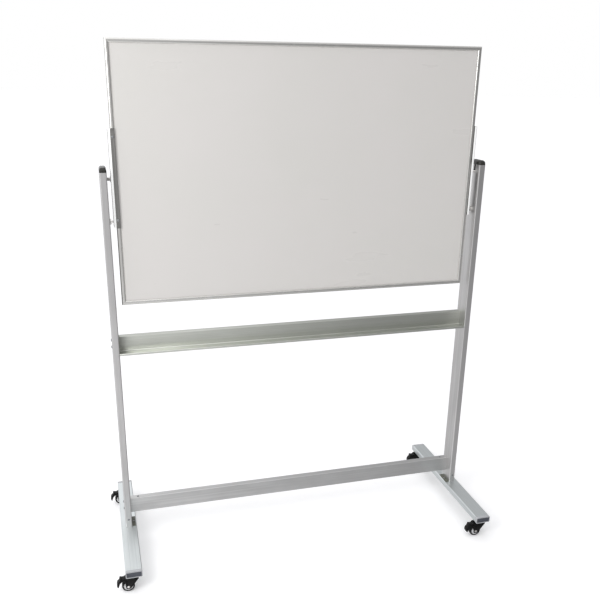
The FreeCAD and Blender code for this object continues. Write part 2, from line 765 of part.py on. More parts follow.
def make_corner_keys():
    """Four L-shaped steel keys that join the mitred rails inside their chambers."""
    keys = []
    thick = "chamber_depth - 2 * key_play"
    width = "chamber_width - 2 * key_play"
    for side_name, side in SIDES.items():
        for level_name, level in (("low", -1), ("high", 1)):
            outer_x = "board_width / 2 - chamber_wall - key_play"
            outer_z = "board_height / 2 - chamber_wall - key_play"
            across = box(f"key_across_{level_name}_{side_name}", "key_length", width, thick,
                         f"{side} * ({outer_x} - key_length / 2)", "0",
                         f"pivot_height + {level} * ({outer_z} - ({thick}) / 2) - ({thick}) / 2")
            up = box(f"key_up_{level_name}_{side_name}", thick, width, "key_length",
                     f"{side} * ({outer_x} - ({thick}) / 2)", "0",
                     f"pivot_height + {level} * ({outer_z} - key_length / 2) - key_length / 2")
            keys.append(fused(f"corner_key_{level_name}_{side_name}", [across, up]))
    group("corner_keys", keys)


def make_panel_layer(name, thickness, middle_y):
    """One of the flat layers that make up the writing panel."""
    layer = box(name, "panel_width", thickness, "panel_height", "0", middle_y,
                "pivot_height - panel_height / 2")
    node(layer, name)


def make_side_bracket(side_name, side):
    """An L-shaped bracket on the board's side rail, bored for the pivot pin and for both lock pins.

    Both brackets are one part: the right one is the left one turned round, so its flange is behind."""
    name = f"side_bracket_{side_name}"
    body = new_body(name, "0", "0", "pivot_height")
    tip = f"{side} * (board_width / 2 - frame_face)"
    edge = f"{side} * board_width / 2"
    outer = f"{side} * bracket_outer"
    inside = f"{side} * frame_depth / 2"
    outside = f"{side} * (frame_depth / 2 + bracket_flange)"
    section = new_sketch(body, "XY")
    outline(section, [(tip, outside), (outer, outside), (outer, f"-({inside})"), (edge, f"-({inside})"),
                      (edge, inside), (tip, inside)])
    pad(body, section, "bracket_length", symmetric=True)
    outer_x, bottom = number(outer), -number("bracket_length / 2")
    fillet(body, "bracket_corner", lambda item: along(item, 1)
           and abs(item.CenterOfMass.x - outer_x) < 0.01 and abs(item.CenterOfMass.z - bottom) < 0.01)
    bores = new_sketch(body, "YZ")
    circle(bores, "pin_radius + running_play")
    for level in (-1, 1):
        circle(bores, "lock_radius + hole_play", "0", f"{level} * lock_drop")
    pocket(body, bores, "bracket_outer + cut_margin", toward_normal=side > 0)
    screws = new_sketch(body, "XZ")
    for level in (-1, 1):
        circle(screws, "screw_radius + running_play", f"{side} * (board_width / 2 - frame_face / 2)",
               f"{level} * (bracket_length / 2 - bracket_screw_inset)")
    pocket(body, screws, "frame_depth + 2 * bracket_flange + 2 * cut_margin", symmetric=True)
    node(body, name)


def make_bracket_screws():
    """Two low-head rivets through the flange of each side bracket."""
    screws = []
    for side_name, side in SIDES.items():
        for level_name, level in (("low", -1), ("high", 1)):
            point = (f"{side} * (board_width / 2 - frame_face / 2)",
                     f"{side} * (frame_depth / 2 + bracket_flange)",
                     f"pivot_height + {level} * (bracket_length / 2 - bracket_screw_inset)")
            screws.append(headed_pin(f"bracket_screw_{side_name}_{level_name}", "screw_radius",
                                     "bracket_flange", "screw_head_radius", "low_head", point,
                                     (0, side, 0)))
    group("bracket_screws", screws)


def make_pivot_pin(side_name, side):
    """The steel pin that the board turns on: pressed in the bracket, with a collar against it."""
    name = f"pivot_pin_{side_name}"
    outward = (side, 0, 0)
    shaft = cylinder(f"{name}_shaft", "pin_radius", "side_gap + pin_reach - pin_root_gap",
                     f"{side} * (board_width / 2 + pin_root_gap)", "0", "pivot_height", outward)
    collar = cylinder(f"{name}_collar", "pin_collar_radius", "pin_collar",
                      f"{side} * bracket_outer", "0", "pivot_height", outward)
    node(fused(name, [shaft, collar]), name)


# ---------------------------------------------------------------- locks

def make_lock_barrel(side_name, side):
    """The guide in the post's inner wall that the lock pin slides in."""
    name = f"lock_barrel_{side_name}"
    toward_board = (-side, 0, 0)
    face = f"{side} * post_inner"
    flange = cylinder(f"{name}_flange", "barrel_flange_radius", "barrel_flange", face, "0", "lock_height",
                      toward_board)
    sleeve = cylinder(f"{name}_sleeve", "barrel_radius", "barrel_depth + barrel_flange",
                      f"{side} * (post_inner + barrel_depth)", "0", "lock_height", toward_board)
    bore = ("lock_radius + running_play", "barrel_depth + barrel_flange + 2 * cut_margin",
            (f"{side} * (post_inner + barrel_depth + cut_margin)", "0", "lock_height"), toward_board)
    node(drilled(name, fused(f"{name}_solid", [flange, sleeve]), [bore]), name)


def make_lock_pin(side_name, side):
    """The sliding pin with its finger knob, shown drawn back so that the board is free to turn."""
    name = f"lock_pin_{side_name}"
    toward_board = (-side, 0, 0)
    rear = "barrel_depth + lock_tail"
    shaft = cylinder(f"{name}_shaft", "lock_radius", f"{rear} + lock_tip", f"{side} * (post_inner + {rear})",
                     "0", "lock_height", toward_board)
    knob = cylinder(f"{name}_knob", "knob_radius", "knob_length",
                    f"{side} * (post_inner - barrel_flange - knob_gap)", "0", "lock_height", toward_board)
    node(fused(name, [shaft, knob]), name)


# ---------------------------------------------------------------- castors

def make_caster_stems():
    """Four stems: a threaded end up into the foot, a bearing race and a headed kingpin below it."""
    stems = []
    for side_name, side in SIDES.items():
        for end_name, end in ENDS.items():
            name = f"caster_stem_{end_name}_{side_name}"
            x, y = f"{side} * post_x", f"{end} * caster_y"
            race = cylinder(f"{name}_race", "race_radius", "race_height", x, y, "caster_height - race_height")
            stem = cylinder(f"{name}_thread", "kingpin_radius", "race_height + stem_length", x, y,
                            "caster_height - race_height")
            drop = "race_gap + fork_plate + kingpin_play + kingpin_head"
            pin = cylinder(f"{name}_pin", "kingpin_radius", f"{drop} + race_height", x, y,
                           f"caster_height - race_height - ({drop})")
            head = cylinder(f"{name}_head", "kingpin_head_radius", "kingpin_head", x, y,
                            f"caster_height - race_height - ({drop})")
            stems.append(fused(name, [race, stem, pin, head]))
    group("caster_stems", stems)


def around_axle(outside_tyre, degrees):
    """A point of the side view, given by its distance outside the tyre and its angle about the axle."""
    across, up = math.cos(math.radians(degrees)), math.sin(math.radians(degrees))
    reach = f"(tyre_radius + {outside_tyre})"
    return f"{across:.6f} * {reach} - caster_trail", f"{up:.6f} * {reach} + tyre_radius"


def make_fork(name, x, y):
    """The swivelling fork: a top plate bored for the kingpin and two cheeks that hold the axle."""
    body = new_body(name, x, y, "0")
    under = "fork_top - fork_plate"
    toe = "tyre_radius - cheek_drop"
    side_view = new_sketch(body, "XZ")
    outline(side_view, [
        ("fork_nose", "fork_top"), ("fork_nose", under),
        ("cheek_half_width - caster_trail", "tyre_radius - cheek_drop * 2 / 3"),
        ("cheek_toe_half_width - caster_trail", toe), ("-cheek_toe_half_width - caster_trail", toe),
        ("-cheek_half_width - caster_trail", "tyre_radius - cheek_drop / 2"),
        ("-cheek_shoulder - caster_trail", under),
        ("-cheek_half_width - caster_trail", "fork_top - fork_plate / 2"), ("-fork_nose", "fork_top")])
    pad(body, side_view, "fork_width", symmetric=True)
    behind = "-caster_trail - 2 * tyre_radius"
    gap = new_sketch(body, "XZ")
    outline(gap, [(behind, "0"), ("2 * fork_nose", "0"), ("2 * fork_nose", under), ("-fork_mouth", under),
                  ("-fork_mouth - cut_margin", "fork_top + cut_margin"), (behind, "fork_top + cut_margin")])
    pocket(body, gap, "fork_gap", symmetric=True)
    bore = new_sketch(body, "XY", "fork_top")
    circle(bore, "kingpin_radius + running_play")
    pocket(body, bore, "fork_plate + cut_margin")
    eyes = new_sketch(body, "XZ")
    circle(eyes, "axle_radius + running_play", "-caster_trail", "tyre_radius")
    circle(eyes, "pedal_pin_radius + running_play", *around_axle("pedal_pin_gap", PEDAL_PIN_ANGLE))
    pocket(body, eyes, "fork_width + 2 * cut_margin", symmetric=True)
    node(body, name)


def make_axle(name, x, y):
    """A rivet through both cheeks, with a shallow head at each end."""
    start_x = f"{x} - caster_trail"
    shaft = cylinder(f"{name}_shaft", "axle_radius", "fork_width", start_x, f"{y} - fork_width / 2",
                     "tyre_radius", (0, 1, 0))
    heads = [cylinder(f"{name}_head", "axle_head_radius", "axle_head", start_x,
                      f"{y} + {end} * fork_width / 2", "tyre_radius", (0, end, 0)) for end in ENDS.values()]
    node(fused(name, [shaft] + heads), name)


def make_wheel(name, x, y):
    """The wheel body: a bored boss, a thin web and a rim."""
    body = new_body(name, f"{x} - caster_trail", y, "tyre_radius")
    half = "wheel_width / 2"
    boss = "axle_radius + boss_wall"
    bore = "axle_radius + running_play"
    profile = new_sketch(body, "YZ")
    outline(profile, [
        (f"-{half} - boss_proud", bore), (f"{half} + boss_proud", bore), (f"{half} + boss_proud", boss),
        (f"{half} - web_recess", f"{boss} + rim_lip"), (f"{half} - web_recess", "rim_radius - rim_wall"),
        (half, "rim_radius - rim_lip"), (half, "rim_radius"), (f"-{half}", "rim_radius"),
        (f"-{half}", "rim_radius - rim_lip"), (f"-{half} + web_recess", "rim_radius - rim_wall"),
        (f"-{half} + web_recess", f"{boss} + rim_lip"), (f"-{half} - boss_proud", boss)])
    revolve(body, profile, "H_Axis")
    node(body, name)


def make_tyre(name, x, y):
    """A solid tread ring with rounded shoulders."""
    body = new_body(name, f"{x} - caster_trail", y, "tyre_radius")
    half = "tyre_width / 2"
    profile = new_sketch(body, "YZ")
    outline(profile, [(f"-{half}", "rim_radius"), (half, "rim_radius"), (half, "tyre_radius - tyre_shoulder"),
                      (f"{half} - tyre_shoulder", "tyre_radius"), (f"-{half} + tyre_shoulder", "tyre_radius"),
                      (f"-{half}", "tyre_radius - tyre_shoulder")])
    revolve(body, profile, "H_Axis")
    rim = number("rim_radius")
    fillet(body, "tyre_round",
           lambda edge: edge.Curve.TypeId == "Part::GeomCircle" and edge.Curve.Radius > rim + 0.01)
    node(body, name)


def make_pedal(name, x, y):
    """The brake pedal: a bent lever between the cheeks, on a pin of its own."""
    body = new_body(name, x, y, "0")
    side_view = new_sketch(body, "XZ")
    outline(side_view, [around_axle(outside, degrees) for outside, degrees in PEDAL_OUTLINE])
    pad(body, side_view, "pedal_width", symmetric=True)
    pivot = new_sketch(body, "XZ")
    circle(pivot, "pedal_pin_radius", *around_axle("pedal_pin_gap", PEDAL_PIN_ANGLE))
    pad(body, pivot, "fork_width", symmetric=True)
    node(body, name)


# ---------------------------------------------------------------- assembly

def make_stand():
    """Everything that stands still: posts, feet, rails and what fastens them."""
    for side_name, side in SIDES.items():
        make_post(side_name, side)
        make_post_cap(side_name, side)
        make_bearing_block(side_name, side)
        make_foot(side_name, side)
        make_foot_plate(side_name, side)
        make_lock_barrel(side_name, side)
    make_foot_caps()
    make_post_inserts()
    make_base_bolts()
    make_post_screws()
    make_plate_screws()
    make_crossbar()
    make_crossbar_inserts()
    make_crossbar_screws()
    make_rail_bolts("crossbar_bolts", "crossbar_middle", ("crossbar_bolt_low", "crossbar_bolt_high"))
    make_tray()
    make_tray_inserts()
    make_rail_bolts("tray_bolts", "tray_middle", ("tray_bolt_low", "tray_bolt_high"))


def make_board():
    """The frame, the layered panel in its grooves and what it turns on."""
    half_height, half_width = "board_height / 2", "board_width / 2"
    make_frame_rail("frame_rail_bottom", 0, "board_width", half_height)
    make_frame_rail("frame_rail_left", 90, "board_height", half_width)
    make_frame_rail("frame_rail_top", 180, "board_width", half_height)
    make_frame_rail("frame_rail_right", 270, "board_height", half_width)
    make_corner_keys()
    sheet_middle = "(core_thickness + sheet_thickness) / 2"
    make_panel_layer("panel_front", "sheet_thickness", f"-{sheet_middle}")
    make_panel_layer("panel_core", "core_thickness", "0")
    make_panel_layer("panel_rear", "sheet_thickness", sheet_middle)
    for side_name, side in SIDES.items():
        make_side_bracket(side_name, side)
        make_pivot_pin(side_name, side)
    make_bracket_screws()


def make_casters():
    """Stems in the feet, and a fork, axle, wheel, tyre and pedal below each."""
    make_caster_stems()
    for side_name, side in SIDES.items():
        for end_name, end in ENDS.items():
            suffix = f"{end_name}_{side_name}"
            x, y = f"{side} * post_x", f"{end} * caster_y"
            make_fork(f"caster_fork_{suffix}", x, y)
            make_axle(f"caster_axle_{suffix}", x, y)
            make_wheel(f"caster_wheel_{suffix}", x, y)
            make_tyre(f"caster_tyre_{suffix}", x, y)
            make_pedal(f"caster_pedal_{suffix}", x, y)


def check_document():
    """Stop if any object failed to build or any sub-part is empty or invalid."""
    for item in doc.Objects:
        if "Invalid" in item.State or "Error" in item.State:
            raise RuntimeError(f"{item.Label} did not build: {item.State}")
    for item in nodes:
        if item.Shape.isNull() or not item.Shape.isValid() or not item.Shape.Solids:
            raise RuntimeError(f"{item.Label} has no valid shape")


def write_parts():
    """Write one STEP file for each sub-part."""
    os.makedirs("parts", exist_ok=True)
    for item in nodes:
        item.Shape.exportStep(os.path.join("parts", item.Label + ".step"))


make_stand()
make_board()
for lock_side_name, lock_side in SIDES.items():
    make_lock_pin(lock_side_name, lock_side)
make_casters()
doc.recompute()
check_document()
write_parts()
print(len(nodes), "nodes written")
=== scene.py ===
import json
import math

import bmesh
import bpy
from mathutils import Matrix, Vector

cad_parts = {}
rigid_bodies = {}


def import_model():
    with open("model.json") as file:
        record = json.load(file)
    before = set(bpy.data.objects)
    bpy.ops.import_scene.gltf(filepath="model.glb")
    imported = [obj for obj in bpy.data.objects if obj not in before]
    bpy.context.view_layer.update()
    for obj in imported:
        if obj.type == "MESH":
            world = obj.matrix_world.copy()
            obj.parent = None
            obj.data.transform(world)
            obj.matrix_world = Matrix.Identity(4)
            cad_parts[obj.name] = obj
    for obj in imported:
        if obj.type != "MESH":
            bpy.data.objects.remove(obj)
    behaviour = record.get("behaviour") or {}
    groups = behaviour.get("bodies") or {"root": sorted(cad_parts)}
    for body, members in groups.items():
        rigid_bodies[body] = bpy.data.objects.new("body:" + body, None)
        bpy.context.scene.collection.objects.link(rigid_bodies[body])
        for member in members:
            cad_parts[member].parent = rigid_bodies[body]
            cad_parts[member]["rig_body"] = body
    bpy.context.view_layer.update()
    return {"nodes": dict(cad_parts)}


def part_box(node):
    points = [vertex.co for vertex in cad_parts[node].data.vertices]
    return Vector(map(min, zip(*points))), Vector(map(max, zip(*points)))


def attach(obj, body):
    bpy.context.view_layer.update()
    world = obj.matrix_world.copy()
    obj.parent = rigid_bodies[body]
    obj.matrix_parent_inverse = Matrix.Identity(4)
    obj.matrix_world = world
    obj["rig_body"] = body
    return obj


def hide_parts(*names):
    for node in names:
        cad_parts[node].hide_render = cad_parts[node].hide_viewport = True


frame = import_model()

# Rolling whiteboard: what it looks like. Metres, +X to the viewer's right, +Y away, +Z up.

MM = 0.001
SIDES = {"left": -1, "right": 1}
CORNERS = ["front_left", "rear_left", "front_right", "rear_right"]

# Fastener heads: radius, height and socket across, in millimetres.
SCREW_HEAD = (3.8, 2.0, 4.4)
LOW_SCREW_HEAD = (3.8, 1.0, 4.4)
BOLT_HEAD = (5.0, 3.0, 4.6)

# A post cap, in millimetres: its straight rim, how far its crown draws in at the sides and how much
# more that is from front to back, its round corners, and its small lower edge.
CAP_RIM = 3
CAP_SHOULDER = 6.5
CAP_DEPTH_SHARE = 1.4
CAP_CORNER = 3
CAP_EDGE = 0.4
CAP_STEPS = 8

# The lock's knob, in millimetres: where it starts from the middle of the board, its length and
# radius, and the knurls round it.
KNOB_PLACE = 612.5
KNOB_LENGTH = 4
KNOB_RADIUS = 8
KNURLS = 28
KNURL_RADIUS = 0.35
KNURL_SINK = 0.3

# The brake pedal's side view: millimetres from the wheel's axle, +X forward and +Z up.
PEDAL_SIDE = [
    (0.4, 23.3), (0.4, 27.2), (-3.6, 29.6), (-5.6, 31.7), (-9.4, 31.6), (-12.5, 29.6), (-20.5, 28.9),
    (-23.4, 31.0), (-27.0, 30.4), (-28.4, 22.5), (-30.6, 19.4), (-34.4, 16.6), (-36.6, 9.6), (-36.7, 3.4),
    (-34.6, -1.6), (-32.2, -1.7), (-30.0, 4.0), (-27.6, 11.0), (-23.6, 15.8), (-17.0, 20.6), (-9.6, 23.3)]
PEDAL_WIDTH = 19

# The grip ribs on the pedal's toe, in millimetres from the same axle.
GRIP_PLACE = -36.3
GRIP_LEVELS = (3.5, 6.0, 8.5)
GRIP_RADIUS = 0.6
GRIP_LENGTH = 15

# Softened edges, in millimetres.
BRACKET_EDGE = 0.35
PLATE_EDGE = 0.4
FOOT_CAP_EDGE = 1.1
TRAY_EDGE = 0.4
PIN_EDGE = 0.5
FORK_EDGE = 0.7
WHEEL_EDGE = 0.4
AXLE_EDGE = 0.3
PEDAL_EDGE = 0.9


# ---------------------------------------------------------------- shader and geometry nodes

def linear(colour):
    """An sRGB hex colour as linear red, green, blue and alpha."""
    parts = [int(colour[i:i + 2], 16) / 255 for i in (1, 3, 5)]
    return [c / 12.92 if c <= 0.04045 else ((c + 0.055) / 1.055) ** 2.4 for c in parts] + [1.0]


def add(tree, kind, settings=None, inputs=None):
    """Add a node, set its properties, and set or link its inputs. A tuple of nodes joins one input."""
    item = tree.nodes.new(kind)
    for name, value in (settings or {}).items():
        setattr(item, name, value)
    for key, values in (inputs or {}).items():
        several = isinstance(values, tuple) and isinstance(values[0], bpy.types.Node)
        for value in values if several else (values,):
            if isinstance(value, bpy.types.Node):
                value = value.outputs[0]
            if isinstance(value, bpy.types.NodeSocket):
                tree.links.new(value, item.inputs[key])
            else:
                item.inputs[key].default_value = value
    return item


def new_finish(name, **constants):
    """A material with one Principled shader, whose constants are set on its own sockets."""
    material = bpy.data.materials.new(name)
    material.use_nodes = True
    tree = material.node_tree
    tree.nodes.clear()
    shader = add(tree, "ShaderNodeBsdfPrincipled", inputs={
        key.replace("_", " "): value for key, value in constants.items()})
    add(tree, "ShaderNodeOutputMaterial", inputs={"Surface": shader})
    return material, tree, shader


def per_metre(across, along=None, run=None):
    """A Mapping scale that gives features a size in millimetres, longer along one axis."""
    return [1 / ((along if axis == run else across) * MM) for axis in "xyz"]


# ---------------------------------------------------------------- finishes

def anodised_aluminium(name, run, light, dark, low=0.30, high=0.44):
    """Clear-anodised extruded aluminium: a silky grey metal.

    Faint die lines run the length of the bar, and the oxide is cloudy in patches of a few centimetres."""
    material, tree, shader = new_finish(name, Metallic=1.0)
    place = add(tree, "ShaderNodeTexCoord").outputs["Object"]
    # Die lines are a few tenths of a millimetre apart, and are drawn 2 mm apart so that they show.
    drawn = add(tree, "ShaderNodeMapping", inputs={"Vector": place, "Scale": per_metre(2, 700, run)})
    lines = add(tree, "ShaderNodeTexNoise", inputs={"Vector": drawn, "Scale": 1.0, "Detail": 2.0})
    cloudy = add(tree, "ShaderNodeMapping", inputs={"Vector": place, "Scale": per_metre(45, 160, run)})
    clouds = add(tree, "ShaderNodeTexNoise", inputs={"Vector": cloudy, "Scale": 1.0, "Detail": 4.0})
    etched = add(tree, "ShaderNodeMapping", inputs={"Vector": place, "Scale": per_metre(0.7)})
    grain = add(tree, "ShaderNodeTexNoise", inputs={"Vector": etched, "Scale": 1.0, "Detail": 1.0})
    tone = add(tree, "ShaderNodeMath", {"operation": "ADD"}, {0: lines, 1: clouds})
    factor = add(tree, "ShaderNodeMapRange", inputs={"Value": tone, "From Min": 0.8, "From Max": 1.2})
    colour = add(tree, "ShaderNodeMix", {"data_type": "RGBA"}, {0: factor, 6: linear(light), 7: linear(dark)})
    tree.links.new(colour.outputs[2], shader.inputs["Base Color"])
    sheen = add(tree, "ShaderNodeMapRange", inputs={
        "Value": tone, "From Min": 0.8, "From Max": 1.2, "To Min": low, "To Max": high})
    tree.links.new(sheen.outputs[0], shader.inputs["Roughness"])
    relief = add(tree, "ShaderNodeMath", {"operation": "ADD"}, {0: lines, 1: grain})
    bump = add(tree, "ShaderNodeBump", inputs={"Height": relief, "Distance": 0.012 * MM, "Strength": 0.5})
    tree.links.new(bump.outputs[0], shader.inputs["Normal"])
    return material


def lacquered_steel(name):
    """Gloss white lacquer rolled on steel sheet: glassy, with slight orange peel and dry-wipe haze."""
    material, tree, shader = new_finish(name, IOR=1.5, Coat_Weight=0.3, Coat_Roughness=0.08)
    place = add(tree, "ShaderNodeTexCoord").outputs["Object"]
    wiped = add(tree, "ShaderNodeMapping", inputs={"Vector": place, "Scale": per_metre(70, 320, "x")})
    wipes = add(tree, "ShaderNodeTexNoise", inputs={"Vector": wiped, "Scale": 1.0, "Detail": 5.0})
    wide = add(tree, "ShaderNodeMapping", inputs={"Vector": place, "Scale": per_metre(380)})
    haze = add(tree, "ShaderNodeTexNoise", inputs={"Vector": wide, "Scale": 1.0, "Detail": 2.0})
    rolled = add(tree, "ShaderNodeMapping", inputs={"Vector": place, "Scale": per_metre(3.5)})
    peel = add(tree, "ShaderNodeTexNoise", inputs={"Vector": rolled, "Scale": 1.0, "Detail": 1.0})
    tone = add(tree, "ShaderNodeMath", {"operation": "MULTIPLY_ADD"}, {0: wipes, 1: 0.3, 2: haze})
    factor = add(tree, "ShaderNodeMapRange", inputs={"Value": tone, "From Min": 0.45, "From Max": 0.85})
    colour = add(tree, "ShaderNodeMix", {"data_type": "RGBA"}, {
        0: factor, 6: linear("#CAC7C4"), 7: linear("#C8C6C2")})
    tree.links.new(colour.outputs[2], shader.inputs["Base Color"])
    gloss = add(tree, "ShaderNodeMapRange", inputs={
        "Value": wipes, "From Min": 0.3, "From Max": 0.7, "To Min": 0.27, "To Max": 0.31})
    tree.links.new(gloss.outputs[0], shader.inputs["Roughness"])
    bump = add(tree, "ShaderNodeBump", inputs={"Height": peel, "Distance": 0.01 * MM, "Strength": 0.3})
    tree.links.new(bump.outputs[0], shader.inputs["Normal"])
    return material


def enamelled_bracket(name):
    """Steel angle in grey baked enamel. The part outside the frame is coloured near white as a painted
    highlight, standing in for the bright reflection along its edges.
    """
    material, tree, shader = new_finish(name)
    place = add(tree, "ShaderNodeTexCoord").outputs["Object"]
    across = add(tree, "ShaderNodeSeparateXYZ", inputs={0: place})
    reach = add(tree, "ShaderNodeMath", {"operation": "ABSOLUTE"}, {0: across.outputs["X"]})
    frame_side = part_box("frame_rail_right")[1].x
    bracket_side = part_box("side_bracket_right")[1].x
    beyond = add(tree, "ShaderNodeMath", {"operation": "GREATER_THAN"}, {0: reach, 1: frame_side + 0.3 * MM})
    within = add(tree, "ShaderNodeMath", {"operation": "LESS_THAN"}, {0: reach, 1: bracket_side - 0.8 * MM})
    edges = add(tree, "ShaderNodeMath", {"operation": "MULTIPLY"}, {0: beyond, 1: within})
    # Baked enamel's fleck is finer, and is drawn 1.5 mm across so that it shows.
    flecked = add(tree, "ShaderNodeMapping", inputs={"Vector": place, "Scale": per_metre(1.5)})
    fleck = add(tree, "ShaderNodeTexNoise", inputs={"Vector": flecked, "Scale": 1.0, "Detail": 3.0})
    factor = add(tree, "ShaderNodeMapRange", inputs={"Value": fleck, "From Min": 0.3, "From Max": 0.7})
    grey = add(tree, "ShaderNodeMix", {"data_type": "RGBA"}, {
        0: factor, 6: linear("#72716E"), 7: linear("#636260")})
    # Near white outside the frame is a painted highlight: it stands in for the reflection along the bracket's
    # edges.
    white = add(tree, "ShaderNodeMix", {"data_type": "RGBA"}, {
        0: factor, 6: linear("#F7F7F6"), 7: linear("#F2F2F0")})
    colour = add(tree, "ShaderNodeMix", {"data_type": "RGBA"}, {
        0: edges, 6: grey.outputs[2], 7: white.outputs[2]})
    tree.links.new(colour.outputs[2], shader.inputs["Base Color"])
    sheen = add(tree, "ShaderNodeMapRange", inputs={"Value": fleck, "To Min": 0.3, "To Max": 0.5})
    tree.links.new(sheen.outputs[0], shader.inputs["Roughness"])
    bump = add(tree, "ShaderNodeBump", inputs={"Height": fleck, "Distance": 0.02 * MM, "Strength": 0.4})
    tree.links.new(bump.outputs[0], shader.inputs["Normal"])
    return material


def moulded_plastic(name, light, dark, low, high, grain_size=0.8, **constants):
    """Injection-moulded plastic: even, with soft flow marks and a spark-eroded grain that dulls it."""
    material, tree, shader = new_finish(name, IOR=1.46, **constants)
    place = add(tree, "ShaderNodeTexCoord").outputs["Object"]
    flowing = add(tree, "ShaderNodeMapping", inputs={"Vector": place, "Scale": per_metre(12)})
    flow = add(tree, "ShaderNodeTexNoise", inputs={"Vector": flowing, "Scale": 1.0, "Detail": 3.0})
    # Mould grain is about a tenth of a millimetre, and is drawn coarser so that it shows.
    eroded = add(tree, "ShaderNodeMapping", inputs={"Vector": place, "Scale": per_metre(grain_size)})
    grain = add(tree, "ShaderNodeTexNoise", inputs={"Vector": eroded, "Scale": 1.0, "Detail": 2.0})
    factor = add(tree, "ShaderNodeMapRange", inputs={"Value": flow, "From Min": 0.3, "From Max": 0.7})
    colour = add(tree, "ShaderNodeMix", {"data_type": "RGBA"}, {0: factor, 6: linear(light), 7: linear(dark)})
    tree.links.new(colour.outputs[2], shader.inputs["Base Color"])
    sheen = add(tree, "ShaderNodeMapRange", inputs={
        "Value": flow, "From Min": 0.3, "From Max": 0.7, "To Min": low, "To Max": high})
    tree.links.new(sheen.outputs[0], shader.inputs["Roughness"])
    bump = add(tree, "ShaderNodeBump", inputs={"Height": grain, "Distance": 0.04 * MM, "Strength": 0.5})
    tree.links.new(bump.outputs[0], shader.inputs["Normal"])
    return material


def inset_foot_cap(name):
    """Moulded pale grey ABS, with its sunk face coloured dark slate as painted shade in the recess."""
    material, tree, shader = new_finish(name, IOR=1.53)
    place = add(tree, "ShaderNodeTexCoord").outputs["Object"]
    along = add(tree, "ShaderNodeSeparateXYZ", inputs={0: place})
    reach = add(tree, "ShaderNodeMath", {"operation": "ABSOLUTE"}, {0: along.outputs["Y"]})
    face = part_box("foot_caps")[1].y
    # The sunk face's dark slate is painted shade, standing in for the shadow inside the recess.
    sunk = add(tree, "ShaderNodeMapRange", inputs={
        "Value": reach, "From Min": face - 0.5 * MM, "From Max": face - 1.0 * MM})
    deep = add(tree, "ShaderNodeMath", {"operation": "GREATER_THAN"}, {0: reach, 1: face - 1.8 * MM})
    recess_shade = add(tree, "ShaderNodeMath", {"operation": "MULTIPLY"}, {0: sunk, 1: deep})
    eroded = add(tree, "ShaderNodeMapping", inputs={"Vector": place, "Scale": per_metre(0.9)})
    grain = add(tree, "ShaderNodeTexNoise", inputs={"Vector": eroded, "Scale": 1.0, "Detail": 2.0})
    factor = add(tree, "ShaderNodeMapRange", inputs={"Value": grain, "From Min": 0.3, "From Max": 0.7})
    shell = add(tree, "ShaderNodeMix", {"data_type": "RGBA"}, {
        0: factor, 6: linear("#B9BBBD"), 7: linear("#AFB1B3")})
    painted_recess_shade = add(tree, "ShaderNodeMix", {"data_type": "RGBA"}, {
        0: factor, 6: linear("#43464F"), 7: linear("#373A42")})
    colour = add(tree, "ShaderNodeMix", {"data_type": "RGBA"}, {
        0: recess_shade, 6: shell.outputs[2], 7: painted_recess_shade.outputs[2]})
    tree.links.new(colour.outputs[2], shader.inputs["Base Color"])
    sheen = add(tree, "ShaderNodeMapRange", inputs={"Value": grain, "To Min": 0.32, "To Max": 0.5})
    tree.links.new(sheen.outputs[0], shader.inputs["Roughness"])
    bump = add(tree, "ShaderNodeBump", inputs={"Height": grain, "Distance": 0.03 * MM, "Strength": 0.5})
    tree.links.new(bump.outputs[0], shader.inputs["Normal"])
    return material


def plated_steel(name, light, dark, low, high):
    """Plated steel: bright, with fine turning marks and a slight mottle in the plate."""
    material, tree, shader = new_finish(name, Metallic=1.0)
    place = add(tree, "ShaderNodeTexCoord").outputs["Object"]
    spotted = add(tree, "ShaderNodeMapping", inputs={"Vector": place, "Scale": per_metre(4)})
    mottle = add(tree, "ShaderNodeTexNoise", inputs={"Vector": spotted, "Scale": 1.0, "Detail": 4.0})
    turned = add(tree, "ShaderNodeMapping", inputs={"Vector": place, "Scale": per_metre(0.6)})
    marks = add(tree, "ShaderNodeTexNoise", inputs={"Vector": turned, "Scale": 1.0, "Detail": 1.0})
    factor = add(tree, "ShaderNodeMapRange", inputs={"Value": mottle, "From Min": 0.3, "From Max": 0.7})
    colour = add(tree, "ShaderNodeMix", {"data_type": "RGBA"}, {0: factor, 6: linear(light), 7: linear(dark)})
    tree.links.new(colour.outputs[2], shader.inputs["Base Color"])
    sheen = add(tree, "ShaderNodeMapRange", inputs={
        "Value": mottle, "From Min": 0.3, "From Max": 0.7, "To Min": low, "To Max": high})
    tree.links.new(sheen.outputs[0], shader.inputs["Roughness"])
    bump = add(tree, "ShaderNodeBump", inputs={"Height": marks, "Distance": 0.01 * MM, "Strength": 0.4})
    tree.links.new(bump.outputs[0], shader.inputs["Normal"])
    return material


def honeycomb_board(name):
    """Resin-stiffened kraft honeycomb: brown cell walls about 8 mm apart."""
    material, tree, shader = new_finish(name, Roughness=0.9)
    place = add(tree, "ShaderNodeTexCoord").outputs["Object"]
    stacked = add(tree, "ShaderNodeMapping", inputs={"Vector": place, "Scale": per_metre(8)})
    cells = add(tree, "ShaderNodeTexVoronoi", {"feature": "DISTANCE_TO_EDGE"}, {
        "Vector": stacked, "Scale": 1.0})
    wall = add(tree, "ShaderNodeMapRange", inputs={"Value": cells, "From Max": 0.12})
    colour = add(tree, "ShaderNodeMix", {"data_type": "RGBA"}, {
        0: wall, 6: linear("#B89A70"), 7: linear("#7C6444")})
    tree.links.new(colour.outputs[2], shader.inputs["Base Color"])
    bump = add(tree, "ShaderNodeBump", inputs={"Height": wall, "Distance": 0.5 * MM, "Strength": 0.5})
    tree.links.new(bump.outputs[0], shader.inputs["Normal"])
    return material


